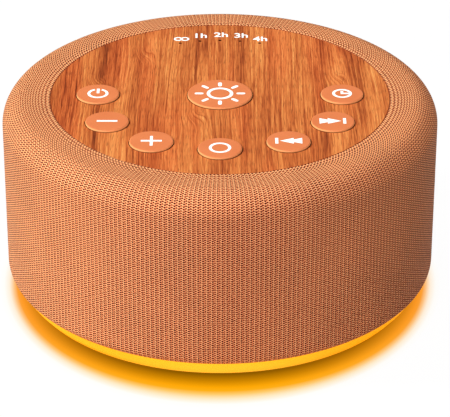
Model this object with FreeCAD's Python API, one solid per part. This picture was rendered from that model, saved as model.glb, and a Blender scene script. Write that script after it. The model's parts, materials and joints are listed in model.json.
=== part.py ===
import FreeCAD
import Part
import math
import os

# White noise sound machine: a low drum in knitted cloth with a wood-grain top panel, eight push
# buttons, a timer display of five pin-holes, a glowing ring round the foot and a small
# loudspeaker inside. Millimetres, +Z up, the front with the round button towards -Y, and the
# origin on the table under the middle of the drum.

# Outside of the drum
BODY_R = 55.0
RIM_W = 12.2
PANEL_TOP = 52.2
PANEL_T = 2.0
SHOULDER_R = 6.4
TUCK_R = 2.5
TUCK_ANGLE = 60.0
FOLD_R = 0.5
FABRIC_T = 1.0
GLUE = 0.15
LIP_GAP = 0.1

# Foot of the drum
FOOT_PROUD = 1.2
FOOT_SUNK = 0.8
FOOT_R = 4.5
FOOT_EDGE = 0.4
FOOT_RIM = 0.9
BASE_T = 2.0
GLOW_LIP = 1.45
GLOW_LEAN = 3.45
GLOW_WALL = 2.1
GLOW_H = 4.7
GLOW_BULGE = 0.35
GLOW_FLANGE_T = 1.2
SPIGOT_H = 3.0
SPIGOT_T = 1.4

# Housing and deck
SHELL_T = 1.8
LEDGE_W = 2.25
LEDGE_T = 1.6
CORNER_R = 2.0
COLUMN_R = 3.2
DECK_COLUMN_R = 2.8
WEB_T = 1.6
WEB_FOOT = 17.0
SLOT_COUNT = 32
SLOT_W = 4.0
SLOT_EDGE = 1.6
DECK_TOP = 30.0
DECK_T = 2.0

# Buttons
KEY_R = 5.4
LIGHT_KEY_R = 8.2
KEY_PROUD = 0.5
KEY_EDGE = 0.3
KEY_SKIN = 1.2
KEY_WALL = 0.9
KEY_FLANGE_W = 1.1
KEY_FLANGE_T = 1.0
KEY_LUG = 1.2
LUG_REACH = 2.0
KEY_STEM_R = 1.5
KEY_STEM = 0.6
KEY_TRAVEL = 0.5
SIDE_KEY_INSET = 12.0
WIDE_KEY_INSET = 10.9
NEAR_KEY_INSET = 11.65
FRONT_KEY_INSET = 12.8
SIDE_KEY_ANGLE = 0.0
WIDE_KEY_ANGLE = 29.1
NEAR_KEY_ANGLE = 57.6
FRONT_KEY_ANGLE = 90.0

# Timer display
PIN_HOLE_R = 0.45
PIN_INSET = 9.7
PIN_STEP_ANGLE = 9.2
PIN_COUNT = 5
PIN_SUNK = 0.4
GUIDE_W = 2.2
GUIDE_T = 1.5
GUIDE_POST_R = 0.8
TIMER_LED = (1.6, 0.8, 0.7)

# Push switches and their board
SWITCH_W = 6.0
SWITCH_H = 3.5
PLUNGER_R = 1.75
PLUNGER_PROUD = 1.5
KEY_BOARD_INSET = 3.8
BOARD_T = 1.2
POST_R = 2.2
POST_FLOOR = 1.0
NEAR_POST_R = 18.0
NEAR_POST_ANGLE = 45.0
FAR_POST_INSET = 12.8
FAR_POST_ANGLE = 40.0

# Loudspeaker
FRAME_R = 25.5
FRAME_T = 0.9
FRAME_LAND = 2.9
FRAME_DEPTH = 10.0
FRAME_SEAT_R = 14.6
EAR_R = 3.6
EAR_REACH = 3.0
WINDOW_COUNT = 6
WINDOW_ANGLE = 36.0
GASKET_T = 0.6
POLE_R = 6.2
COIL_T = 0.3
COIL_GAP = 0.25
COIL_LENGTH = 9.5
TOP_PLATE_T = 3.0
MAGNET_R = 16.5
MAGNET_T = 7.0
MAGNET_BORE_R = 9.5
YOKE_T = 2.5
YOKE_R = 15.5
CONE_T = 0.5
CONE_NECK = 2.0
CONE_BEND = 0.42
SURROUND_W = 3.6
SURROUND_T = 0.5
SURROUND_LAP = 1.0
SPIDER_T = 0.4
SPIDER_WAVES = 3
SPIDER_WAVE_H = 0.5
DUST_CAP_H = 2.2

# Main board, what stands on it, its socket and the light board
BOARD_GAP = 4.5
BOARD_TONGUE_X = 9.0
BOARD_X = 23.0
BOARD_BEHIND = 3.0
BOARD_HEIGHT = 7.8
REAR_POST = (16.0, 12.5)
FRONT_POST = (19.0, 4.0)
PROCESSOR = (7.0, 7.0, 0.9)
AMPLIFIER = (5.0, 4.0, 1.5)
MEMORY = (5.0, 4.0, 1.4)
CHOKE = (4.6, 4.6, 2.8)
CAN_R = 2.5
CAN_H = 5.4
SMALL_CAN_R = 2.0
SMALL_CAN_H = 5.0
SOCKET_W = 8.94
SOCKET_H = 3.26
SOCKET_LENGTH = 7.35
SOCKET_T = 0.3
SOCKET_MOUTH = 1.4
TONGUE = (6.69, 4.45, 0.7)
TONGUE_BLOCK = 1.4
BEZEL_W = 13.0
BEZEL_H = 7.6
BEZEL_R = 2.4
LIGHT_BOARD_T = 1.0
LIGHT_BOARD_W = 3.5
LIGHT_COUNT = 12
LIGHT_LED = (2.0, 2.8, 0.8)
LINK = (6.0, 2.0)
CABLE_W = 10.0
CABLE_T = 0.3
CABLE_PLUG = (12.0, 4.0, 2.0)
CABLE_SWAY = 3.0
TAG = (10.0, 8.0)
TAG_PROUD = 1.0
LEAD_R = 0.6
LEAD_X = 3.0
LEAD_DROP = 4.0
LEAD_STEP = 2.5
LEAD_BEND = 1.8

# Screws
SCREW_R = 1.15
SCREW_HEAD_R = 2.1
SCREW_HEAD_T = 1.5
SMALL_SCREW_R = 0.8
SMALL_HEAD_R = 1.6
SMALL_HEAD_T = 1.1
SMALL_SCREW = 5.0
BASE_SCREW = 12.0
DECK_SCREW = 9.0

# Clearances, and how far a cutter runs past what it cuts
FIT = 0.1
SLIDE = 0.2
LOOSE = 0.4
PAST = 1.0

# Radii and levels worked out from the sizes above
PANEL_R = BODY_R - RIM_W
GLOW_TOP_R = BODY_R - GLOW_LIP
GLOW_FOOT_R = GLOW_TOP_R - GLOW_LEAN
BASE_R = GLOW_FOOT_R - GLOW_WALL
PIN_ARC_R = PANEL_R - PIN_INSET
KEY_BOARD_R = PANEL_R - KEY_BOARD_INSET
FRAME_THROAT_R = FRAME_R - FRAME_LAND
EAR_PITCH_R = FRAME_R + EAR_REACH
CONE_R = FRAME_THROAT_R - SURROUND_W
BOARD_REAR = BODY_R - BOARD_GAP
BOARD_FRONT = MAGNET_R + BOARD_BEHIND
BASE_Z = FOOT_PROUD
BASE_TOP = BASE_Z + BASE_T
GLOW_TOP = BASE_Z + GLOW_H
SHOULDER_Z = PANEL_TOP - SHOULDER_R
TUCK_Z = GLOW_TOP + FIT + TUCK_R * math.sin(math.radians(TUCK_ANGLE))
LEDGE_Z = PANEL_TOP - PANEL_T
LEDGE_FOOT = LEDGE_Z - LEDGE_T
DECK_FOOT = DECK_TOP - DECK_T
LIP_R = PANEL_R + LIP_GAP
LEDGE_R = LIP_R - LEDGE_W
SHELL_INSET = FABRIC_T + GLUE
SHELL_R = BODY_R - SHELL_INSET
SHELL_IN_R = SHELL_R - SHELL_T
COLUMN_PITCH_R = BASE_R - FOOT_R - FOOT_RIM
DECK_COLUMN_PITCH_R = SHELL_IN_R - DECK_COLUMN_R - 2 * WEB_T
LIGHT_BOARD_R = SHELL_IN_R - 2 * FIT - SPIGOT_T - FIT
LIGHT_BOARD_Z = GLOW_TOP + LIGHT_LED[2] + 2 * FIT
COLUMN_FOOT = LIGHT_BOARD_Z + LIGHT_BOARD_T + SLIDE
KEY_TOP = PANEL_TOP + KEY_PROUD
FLANGE_TOP = LEDGE_Z - FIT
FLANGE_FOOT = FLANGE_TOP - KEY_FLANGE_T
STEM_FOOT = FLANGE_FOOT - KEY_STEM
KEY_BOARD_TOP = STEM_FOOT - PLUNGER_PROUD - SWITCH_H
KEY_BOARD_Z = KEY_BOARD_TOP - BOARD_T
FRAME_FOOT = DECK_TOP + GASKET_T
FRAME_SEAT = FRAME_FOOT - FRAME_DEPTH
COIL_R = POLE_R + COIL_GAP
COIL_OUT_R = COIL_R + COIL_T
TOP_PLATE_Z = FRAME_SEAT - TOP_PLATE_T
MAGNET_Z = TOP_PLATE_Z - MAGNET_T
YOKE_Z = MAGNET_Z - YOKE_T
CONE_RIM = FRAME_FOOT + FRAME_T
CONE_FOOT = FRAME_SEAT + FRAME_T + 2 * SPIDER_WAVE_H + CONE_NECK
COIL_TOP = CONE_FOOT + CONE_T
MAIN_BOARD_Z = BASE_TOP + BOARD_HEIGHT
MAIN_BOARD_TOP = MAIN_BOARD_Z + BOARD_T
SOCKET_Z = MAIN_BOARD_TOP + SOCKET_H / 2
SOCKET_FRONT = BODY_R - SOCKET_MOUTH
CABLE_Y = (BOARD_FRONT + BOARD_REAR) / 2


def on_panel(inset, angle, side):
    """A place in from the panel's rim, turned forward from its left (-1) or right (1) side."""
    radius = PANEL_R - inset
    turn = math.radians(angle)
    return (side * radius * math.cos(turn), -radius * math.sin(turn))


# Eight buttons: node name, place on the panel and radius
KEYS = (
    ("power_button", on_panel(SIDE_KEY_INSET, SIDE_KEY_ANGLE, -1), KEY_R),
    ("volume_down_button", on_panel(WIDE_KEY_INSET, WIDE_KEY_ANGLE, -1), KEY_R),
    ("volume_up_button", on_panel(NEAR_KEY_INSET, NEAR_KEY_ANGLE, -1), KEY_R),
    ("mode_button", on_panel(FRONT_KEY_INSET, FRONT_KEY_ANGLE, 1), KEY_R),
    ("previous_button", on_panel(NEAR_KEY_INSET, NEAR_KEY_ANGLE, 1), KEY_R),
    ("next_button", on_panel(WIDE_KEY_INSET, WIDE_KEY_ANGLE, 1), KEY_R),
    ("timer_button", on_panel(SIDE_KEY_INSET, SIDE_KEY_ANGLE, 1), KEY_R),
    ("night_light_button", (0.0, 0.0), LIGHT_KEY_R),
)


def vec(x, y, z):
    return FreeCAD.Vector(x, y, z)


UP = vec(0, 0, 1)
CENTRE = vec(0, 0, 0)


def polar(radius, degrees, centre=(0.0, 0.0)):
    """A point at an angle on a circle, in the plan or in a section."""
    turn = math.radians(degrees)
    return (centre[0] + radius * math.cos(turn), centre[1] + radius * math.sin(turn))


def quarters(first=45.0):
    """Four angles a quarter turn apart."""
    return [first + 90.0 * step for step in range(4)]


def disc(radius, foot, top, place=(0.0, 0.0)):
    return Part.makeCylinder(radius, top - foot, vec(place[0], place[1], foot), UP)


def tube(outer, inner, foot, top, place=(0.0, 0.0)):
    return disc(outer, foot, top, place).cut(disc(inner, foot - FIT, top + FIT, place))


def block(width, depth, foot, top, place=(0.0, 0.0)):
    """A box centred on a place in the plan."""
    corner = vec(place[0] - width / 2, place[1] - depth / 2, foot)
    return Part.makeBox(width, depth, top - foot, corner)


def turned(shape, degrees):
    copy = shape.copy()
    copy.rotate(CENTRE, UP, degrees)
    return copy


def joined(first, others):
    return first.fuse(others).removeSplitter()


def outline(points, place):
    """A closed wire through corners; a corner marked "by" is passed on an arc to the next one."""
    edges = []
    here = points[0]
    through = None
    for item in list(points[1:]) + [points[0]]:
        if item[0] == "by":
            through = item[1]
        elif through is None:
            edges.append(Part.LineSegment(place(*here), place(*item)).toShape())
            here = item
        else:
            edges.append(Part.Arc(place(*here), place(*through), place(*item)).toShape())
            here = item
            through = None
    return Part.Wire(edges)


def revolved(points):
    """Turn a section of (radius, height) corners about the drum's axis."""
    section = Part.Face(outline(points, lambda r, z: vec(r, 0, z)))
    return section.revolve(CENTRE, UP, 360)


def extruded(points, foot, top):
    """Raise a plan of (x, y) corners from one level to another."""
    plan = Part.Face(outline(points, lambda x, y: vec(x, y, foot)))
    return plan.extrude(vec(0, 0, top - foot))


def pill(width, height, radius, near, far, level):
    """A rounded rectangle seen from behind, running from one depth to another."""
    x = width / 2
    z = height / 2
    cut = radius * (1 - math.sqrt(0.5))
    corners = [
        (-x + radius, level - z), (x - radius, level - z),
        ("by", (x - cut, level - z + cut)), (x, level - z + radius),
        (x, level + z - radius),
        ("by", (x - cut, level + z - cut)), (x - radius, level + z),
        (-x + radius, level + z),
        ("by", (-x + cut, level + z - cut)), (-x, level + z - radius),
        (-x, level - z + radius),
        ("by", (-x + cut, level - z + cut)),
    ]
    face = Part.Face(outline(corners, lambda px, pz: vec(px, near, pz)))
    return face.extrude(vec(0, far - near, 0))


def bent_path(points, radius):
    """Straight runs joined by tangent arcs."""
    corners = [vec(*point) for point in points]
    edges = []
    here = corners[0]
    for before, corner, after in zip(corners, corners[1:], corners[2:]):
        inward = (corner - before).normalize()
        onward = (after - corner).normalize()
        turn = inward.getAngle(onward)
        reach = radius * math.tan(turn / 2)
        start = corner - inward * reach
        end = corner + onward * reach
        bisector = (onward - inward).normalize()
        middle = corner + bisector * (radius / math.cos(turn / 2) - radius)
        edges.append(Part.LineSegment(here, start).toShape())
        edges.append(Part.Arc(start, middle, end).toShape())
        here = end
    edges.append(Part.LineSegment(here, corners[-1]).toShape())
    return Part.Wire(edges)


def swept(path, section):
    return path.makePipeShell([section], True, False)


def chords(centre, radius, first, last, count):
    """Points along an arc in a section, from one angle to another."""
    return [polar(radius, first + (last - first) * step / count, centre) for step in range(count + 1)]


def skin(inset):
    """The cloth's outside from its lower edge to the panel's rim, moved inwards."""
    tuck = (BODY_R - TUCK_R, TUCK_Z)
    shoulder = (BODY_R - SHOULDER_R, SHOULDER_Z)
    return [
        *chords(tuck, TUCK_R - inset, -TUCK_ANGLE, 0, 3),
        *chords(shoulder, SHOULDER_R - inset, 0, 90, 4),
        *fold(inset),
    ]


def fold(inset):
    """The cloth's turn down at the panel; further in than its radius it is a sharp corner."""
    if inset >= FOLD_R:
        return [(LIP_R + inset, PANEL_TOP - inset)]
    return chords((LIP_R + FOLD_R, PANEL_TOP - FOLD_R), FOLD_R - inset, 90, 180, 3)


def smooth_skin():
    """The same outside with its shoulder as one true arc."""
    corners = skin(0.0)
    shoulder = (BODY_R - SHOULDER_R, SHOULDER_Z)
    return corners[:5] + [("by", polar(SHOULDER_R, 45, shoulder))] + corners[8:]


def fabric_sleeve():
    """Knitted cloth over the wall, shoulder and rim, open where the socket's bezel sits."""
    hem = LEDGE_Z + FIT
    face = smooth_skin() + [(LIP_R, hem), (LIP_R + FABRIC_T, hem)]
    back = list(reversed(skin(FABRIC_T)))
    window = pill(BEZEL_W + 2 * FIT, BEZEL_H + 2 * FIT, BEZEL_R + FIT, SHELL_IN_R, BODY_R + PAST, SOCKET_Z)
    return revolved(face + back).cut(window)


def housing():
    """Moulded drum with a panel ledge, a slotted wall and screw columns on webs."""
    face = skin(SHELL_INSET)
    foot = GLOW_TOP + FIT
    section = [(SHELL_IN_R, foot), (face[0][0], foot)] + face + [
        (LIP_R + SHELL_INSET, LEDGE_Z),
        (LEDGE_R, LEDGE_Z),
        (LEDGE_R, LEDGE_FOOT),
        (SHELL_IN_R - CORNER_R, LEDGE_FOOT),
        (SHELL_IN_R, LEDGE_FOOT - CORNER_R),
    ]
    shell = revolved(section)
    extras = []
    for angle in quarters():
        extras.append(disc(COLUMN_R, COLUMN_FOOT, LEDGE_FOOT + FIT, polar(COLUMN_PITCH_R, angle)))
        extras.append(web(COLUMN_PITCH_R, WEB_FOOT, angle))
    for angle in quarters(0.0):
        place = polar(DECK_COLUMN_PITCH_R, angle)
        extras.append(disc(DECK_COLUMN_R, DECK_TOP, LEDGE_FOOT + FIT, place))
        extras.append(web(DECK_COLUMN_PITCH_R, DECK_TOP, angle))
    shell = joined(shell, extras)
    holes = [slot(360.0 * (step + 0.5) / SLOT_COUNT) for step in range(SLOT_COUNT)]
    for angle in quarters():
        place = polar(COLUMN_PITCH_R, angle)
        holes.append(disc(SCREW_R + FIT, COLUMN_FOOT - PAST, COLUMN_FOOT + BASE_SCREW, place))
    for angle in quarters(0.0):
        place = polar(DECK_COLUMN_PITCH_R, angle)
        holes.append(disc(SCREW_R + FIT, DECK_TOP - PAST, DECK_TOP + DECK_SCREW, place))
    holes.append(socket_passage())
    return shell.cut(holes)


def web(start_r, foot, angle):
    """A flat rib from a column out into the drum's wall."""
    reach = SHELL_IN_R + SHELL_T / 2 - start_r
    rib = block(reach, WEB_T, foot, LEDGE_FOOT + FIT, (start_r + reach / 2, 0.0))
    return turned(rib, angle)


def slot(angle):
    """One sound slot through the drum's wall above the deck."""
    foot = DECK_TOP + SLOT_EDGE
    top = LEDGE_FOOT - CORNER_R - SLOT_EDGE
    cutter = block(4 * SHELL_T, SLOT_W, foot, top, (SHELL_R, 0.0))
    return turned(cutter, angle)


def socket_passage():
    """The way through wall and bezel for the power socket."""
    width = SOCKET_W + 2 * SLIDE
    height = SOCKET_H + 2 * SLIDE
    return pill(width, height, height / 2 - FIT, SHELL_IN_R - 2 * SHELL_T, BODY_R + PAST, SOCKET_Z)


def inlet_bezel():
    """Curved frame round the power socket, flush with the cloth."""
    plate = pill(BEZEL_W, BEZEL_H, BEZEL_R, SHELL_IN_R, BODY_R + PAST, SOCKET_Z)
    low = SOCKET_Z - BEZEL_H
    high = SOCKET_Z + BEZEL_H
    return plate.common(tube(BODY_R, SHELL_R + FIT / 2, low, high)).cut(socket_passage())


def post_places():
    """Four screw posts under the panel, clear of the buttons."""
    near = [polar(NEAR_POST_R, 270 - NEAR_POST_ANGLE), polar(NEAR_POST_R, 270 + NEAR_POST_ANGLE)]
    radius = PANEL_R - FAR_POST_INSET
    far = [polar(radius, FAR_POST_ANGLE), polar(radius, 180 - FAR_POST_ANGLE)]
    return near + far


def pin_angles():
    """Angles of the timer pin-holes, centred on the back of the panel."""
    first = 90.0 - PIN_STEP_ANGLE * (PIN_COUNT - 1) / 2
    return [first + PIN_STEP_ANGLE * step for step in range(PIN_COUNT)]


def top_panel():
    """Round panel with keyed button holes, pin-holes and screw posts."""
    edge = PANEL_TOP - FIT
    plate = revolved([(0.0, LEDGE_Z), (PANEL_R, LEDGE_Z), (PANEL_R, edge), (PANEL_R - FIT, PANEL_TOP),
                      (0.0, PANEL_TOP)])
    extras = []
    holes = []
    for _, (x, y), radius in KEYS:
        holes.append(disc(radius + SLIDE, LEDGE_Z - PAST, PANEL_TOP + PAST, (x, y)))
        holes.append(block(KEY_LUG + 2 * SLIDE, LUG_REACH, LEDGE_Z - PAST, LEDGE_Z + KEY_LUG,
                           (x, y + radius + SLIDE)))
    for place in post_places():
        extras.append(disc(POST_R, KEY_BOARD_TOP, LEDGE_Z + FIT, place))
        holes.append(disc(SMALL_SCREW_R + FIT, KEY_BOARD_TOP - PAST, LEDGE_Z - POST_FLOOR, place))
    for angle in pin_angles():
        holes.append(disc(PIN_HOLE_R, LEDGE_Z - PAST, PANEL_TOP + PAST, polar(PIN_ARC_R, angle)))
    return joined(plate, extras).cut(holes)


def button(place, radius):
    """Cored cap with a flange that holds it under the panel, a stem and a lug against turning."""
    bore = radius - KEY_WALL
    ceiling = KEY_TOP - KEY_SKIN
    flange = radius + KEY_FLANGE_W
    edge = chords((radius - KEY_EDGE, KEY_TOP - KEY_EDGE), KEY_EDGE, 0, 90, 2)
    cap = revolved([
        (0.0, STEM_FOOT), (KEY_STEM_R, STEM_FOOT), (KEY_STEM_R, ceiling), (bore, ceiling),
        (bore, FLANGE_FOOT), (flange, FLANGE_FOOT), (flange, FLANGE_TOP), (radius, FLANGE_TOP),
        *edge, (0.0, KEY_TOP),
    ])
    reach = LUG_REACH / 2 + SLIDE / 2
    lug = block(KEY_LUG, reach, FLANGE_FOOT, LEDGE_Z + KEY_LUG - KEY_TRAVEL,
                (0.0, radius + reach / 2 - SLIDE / 2))
    cap = joined(cap, [lug])
    cap.translate(vec(place[0], place[1], 0))
    return cap


def plunger_foot():
    """Level of a switch's plunger inside its body, with the stroke and a gap left under it."""
    return KEY_BOARD_TOP + SWITCH_H / 2 + KEY_TRAVEL / 2


def plunger(place):
    """The sprung peg of one push switch."""
    return disc(PLUNGER_R, plunger_foot(), STEM_FOOT, place)


def tact_switches():
    """Eight square push switches on the button board."""
    top = KEY_BOARD_TOP + SWITCH_H
    well = plunger_foot() - KEY_TRAVEL - FIT
    bodies = []
    for _, place, _ in KEYS:
        body = block(SWITCH_W, SWITCH_W, KEY_BOARD_TOP, top, place)
        bodies.append(body.cut(disc(PLUNGER_R + FIT, well, top + PAST, place)))
    return Part.makeCompound(bodies)


def key_board():
    board = disc(KEY_BOARD_R, KEY_BOARD_Z, KEY_BOARD_TOP)
    return board.cut([disc(SMALL_SCREW_R + FIT, KEY_BOARD_Z - PAST, KEY_BOARD_TOP + PAST, place)
                      for place in post_places()])


def timer_leds():
    """Five small lamps on the button board, one under each pin-hole."""
    lamps = []
    for angle in pin_angles():
        lamp = block(TIMER_LED[0], TIMER_LED[1], KEY_BOARD_TOP, KEY_BOARD_TOP + TIMER_LED[2],
                     (PIN_ARC_R, 0.0))
        lamps.append(turned(lamp, angle))
    return Part.makeCompound(lamps)


def timer_light_guide():
    """Clear comb that carries the timer lamps' light up into the pin-holes."""
    angles = pin_angles()
    margin = PIN_STEP_ANGLE / 3
    first = angles[0] - margin
    last = angles[-1] + margin
    outer = PIN_ARC_R + GUIDE_W / 2
    inner = PIN_ARC_R - GUIDE_W / 2
    bar = extruded([polar(outer, first), ("by", polar(outer, 90)), polar(outer, last),
                    polar(inner, last), ("by", polar(inner, 90))], LEDGE_Z - GUIDE_T, LEDGE_Z)
    foot = KEY_BOARD_TOP + TIMER_LED[2] + LOOSE
    pins = []
    middle = LEDGE_Z - GUIDE_T / 2
    for angle in angles:
        place = polar(PIN_ARC_R, angle)
        pins.append(disc(GUIDE_POST_R, foot, middle, place))
        pins.append(disc(PIN_HOLE_R - FIT, middle, PANEL_TOP - PIN_SUNK, place))
    return joined(bar, pins)


def light_ring():
    """Milky ring round the foot, with a spigot up inside the drum and a flange on the base."""
    spigot_r = SHELL_IN_R - FIT
    spigot_in = spigot_r - SPIGOT_T
    flange_top = BASE_TOP + GLOW_FLANGE_T
    low = (GLOW_FOOT_R + GLOW_BULGE * 2, BASE_Z + GLOW_BULGE)
    middle = ((GLOW_FOOT_R + GLOW_TOP_R) / 2 + GLOW_BULGE, (BASE_Z + GLOW_TOP) / 2 - GLOW_BULGE)
    return revolved([
        (BASE_R + FIT, BASE_Z), (GLOW_FOOT_R, BASE_Z), low, middle, (GLOW_TOP_R, GLOW_TOP),
        (spigot_r, GLOW_TOP), (spigot_r, GLOW_TOP + SPIGOT_H), (spigot_in, GLOW_TOP + SPIGOT_H),
        (spigot_in, GLOW_TOP), (spigot_in - GLOW_FLANGE_T, flange_top),
        (BASE_R - GLOW_FLANGE_T / 2, flange_top), (BASE_R - GLOW_FLANGE_T / 2, BASE_TOP),
        (BASE_R + FIT, BASE_TOP),
    ])


def base_cover():
    """Round floor with foot recesses, screw bosses, board posts and a wall for the light board."""
    wall_r = BASE_R - GLOW_FLANGE_T / 2 - SLIDE
    plate = disc(BASE_R, BASE_Z, BASE_TOP)
    extras = [tube(wall_r, wall_r - GLOW_FLANGE_T, BASE_TOP - FIT, LIGHT_BOARD_Z)]
    holes = []
    for angle in quarters():
        place = polar(COLUMN_PITCH_R, angle)
        extras.append(disc(COLUMN_R, BASE_TOP - FIT, COLUMN_FOOT, place))
        holes.append(disc(FOOT_R + FIT, BASE_Z - PAST, BASE_Z + FOOT_SUNK, place))
        holes.append(disc(SCREW_R + SLIDE, BASE_Z, COLUMN_FOOT + PAST, place))
        holes.append(disc(SCREW_HEAD_R + SLIDE, BASE_Z, base_screw_seat(), place))
    for place in board_posts():
        extras.append(disc(POST_R, BASE_TOP - FIT, MAIN_BOARD_Z, place))
        holes.append(disc(SMALL_SCREW_R + FIT, BASE_TOP, MAIN_BOARD_Z + PAST, place))
    return joined(plate, extras).cut(holes)


def base_screw_seat():
    """Level of the shoulder that the base screws' heads bear on."""
    return BASE_Z + FOOT_SUNK + SCREW_HEAD_T + SLIDE


def board_posts():
    """Four places where the main board is screwed down."""
    front = BOARD_FRONT + FRONT_POST[1]
    rear = BOARD_REAR - REAR_POST[1]
    return [(side * x, y) for x, y in ((FRONT_POST[0], front), (REAR_POST[0], rear)) for side in (-1, 1)]


def rubber_feet():
    """Four round pads that hide the base screws."""
    top = BASE_Z + FOOT_SUNK
    pads = []
    for angle in quarters():
        pad = revolved([(0.0, 0.0), (FOOT_R - FOOT_EDGE, 0.0), (FOOT_R, FOOT_EDGE), (FOOT_R, top), (0.0, top)])
        place = polar(COLUMN_PITCH_R, angle)
        pad.translate(vec(place[0], place[1], 0))
        pads.append(pad)
    return Part.makeCompound(pads)


def speaker_deck():
    """Baffle across the drum that carries the loudspeaker and parts front from rear."""
    plate = disc(SHELL_IN_R - SLIDE, DECK_FOOT, DECK_TOP)
    extras = []
    under = DECK_FOOT - PAST
    over = DECK_TOP + PAST
    post_foot = DECK_TOP - SMALL_SCREW - POST_FLOOR
    holes = [disc(FRAME_THROAT_R + LOOSE, post_foot - PAST, over)]
    for angle in quarters():
        holes.append(disc(COLUMN_R + LOOSE, under, over, polar(COLUMN_PITCH_R, angle)))
        gap = block(2 * SHELL_T + BODY_R - COLUMN_PITCH_R, WEB_T + 2 * LOOSE, under, over,
                    ((BODY_R + COLUMN_PITCH_R) / 2 + SHELL_T, 0.0))
        holes.append(turned(gap, angle))
        place = polar(EAR_PITCH_R, angle)
        extras.append(disc(POST_R, post_foot, DECK_FOOT + FIT, place))
        holes.append(disc(SMALL_SCREW_R + FIT, DECK_TOP - SMALL_SCREW, over, place))
    for angle in quarters(0.0):
        holes.append(disc(SCREW_R + SLIDE, under, over, polar(DECK_COLUMN_PITCH_R, angle)))
    cable_way = block(CABLE_W + 4 * LOOSE, CABLE_T + 6 * LOOSE, under, over, (0.0, CABLE_Y + CABLE_SWAY))
    holes.append(cable_way)
    return joined(plate, extras).cut(holes)


def speaker_basket():
    """Pressed frame with four ears, a cone of windows and a seat for the top plate."""
    top = FRAME_FOOT + FRAME_T
    seat = FRAME_SEAT
    bore = COIL_OUT_R + COIL_GAP + LOOSE
    frame = revolved([
        (bore, seat), (FRAME_SEAT_R, seat), (FRAME_THROAT_R, FRAME_FOOT), (FRAME_R, FRAME_FOOT),
        (FRAME_R, top), (FRAME_THROAT_R - FRAME_T, top), (FRAME_SEAT_R - FRAME_T, seat + FRAME_T),
        (bore, seat + FRAME_T),
    ])
    ears = []
    holes = []
    for angle in quarters():
        place = polar(EAR_PITCH_R, angle)
        ear = disc(EAR_R, FRAME_FOOT, top, place)
        ears.append(ear.cut(disc(FRAME_R - FRAME_T, FRAME_FOOT - PAST, top + PAST)))
        holes.append(disc(SMALL_SCREW_R + SLIDE, FRAME_FOOT - PAST, top + PAST, place))
    foot = seat + 3 * FRAME_T
    reach = FRAME_THROAT_R + PAST
    half = WINDOW_ANGLE / 2
    for step in range(WINDOW_COUNT):
        middle = 360.0 * (step + 0.5) / WINDOW_COUNT
        wedge = extruded([(0.0, 0.0), polar(reach, middle - half), polar(reach, middle + half)],
                         foot, FRAME_FOOT - 2 * FRAME_T)
        holes.append(wedge)
    return joined(frame, ears).cut(holes)


def speaker_gasket():
    """Foam ring between the loudspeaker's frame and the deck."""
    return tube(FRAME_R, FRAME_THROAT_R + LOOSE, DECK_TOP, FRAME_FOOT)


def speaker_top_plate():
    return tube(YOKE_R, COIL_OUT_R + COIL_GAP, TOP_PLATE_Z, FRAME_SEAT)


def speaker_magnet():
    return tube(MAGNET_R, MAGNET_BORE_R, MAGNET_Z, TOP_PLATE_Z)


def speaker_yoke():
    """Back plate with the pole that stands up through the magnet."""
    edge = 2 * LOOSE
    return revolved([(0.0, YOKE_Z), (YOKE_R - edge, YOKE_Z), (YOKE_R, YOKE_Z + edge), (YOKE_R, MAGNET_Z),
                     (POLE_R, MAGNET_Z), (POLE_R, FRAME_SEAT), (0.0, FRAME_SEAT)])


def voice_coil():
    return tube(COIL_OUT_R, COIL_R, COIL_TOP - COIL_LENGTH, COIL_TOP)


def speaker_cone():
    """Shallow flared paper cone from the coil to the surround."""
    neck = COIL_OUT_R + FIT / 2
    bend = ((neck + CONE_R) / 2, CONE_FOOT + (CONE_RIM - CONE_FOOT) * CONE_BEND)
    return revolved([
        (neck, CONE_FOOT), bend, (CONE_R, CONE_RIM - CONE_T),
        (CONE_R, CONE_RIM), (bend[0], bend[1] + CONE_T), (neck, CONE_FOOT + CONE_T),
    ])


def speaker_surround():
    """Half-round rubber roll between the cone's rim and the frame."""
    foot = CONE_RIM + FIT / 2
    inner = CONE_R - SURROUND_LAP
    middle = ((CONE_R + FRAME_THROAT_R) / 2, foot)
    radius = (FRAME_THROAT_R - CONE_R) / 2
    under = chords(middle, radius - SURROUND_T, 180, 0, 4)
    over = chords((middle[0], foot + SURROUND_T), radius, 0, 180, 4)
    outer = FRAME_R - SURROUND_LAP
    return revolved([(inner, foot), *under, (outer, foot), (outer, foot + SURROUND_T), *over,
                     (inner, foot + SURROUND_T)])


def speaker_spider():
    """Corrugated disc that centres the coil above the frame's seat."""
    level = FRAME_SEAT + FRAME_T + SPIDER_WAVE_H + FIT
    start = COIL_OUT_R + FIT / 2
    end = FRAME_SEAT_R - FRAME_T
    half_pitch = (end - start) / (2 * SPIDER_WAVES)
    face = [(start, level)]
    for step in range(1, 2 * SPIDER_WAVES):
        crest = SPIDER_WAVE_H if step % 2 else -SPIDER_WAVE_H
        face.append((start + half_pitch * step, level + crest))
    face.append((end, level))
    back = [(r, z + SPIDER_T) for r, z in reversed(face)]
    return revolved(face + back)


def dust_cap():
    """Low dome over the coil."""
    foot = COIL_TOP + FIT / 2
    over = [(COIL_OUT_R, foot), (COIL_OUT_R * 0.6, foot + DUST_CAP_H * 0.7), (0.0, foot + DUST_CAP_H)]
    under = [(0.0, over[2][1] - CONE_T), (over[1][0], over[1][1] - CONE_T), (COIL_OUT_R - 2 * CONE_T, foot)]
    return revolved(over + under)


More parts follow.
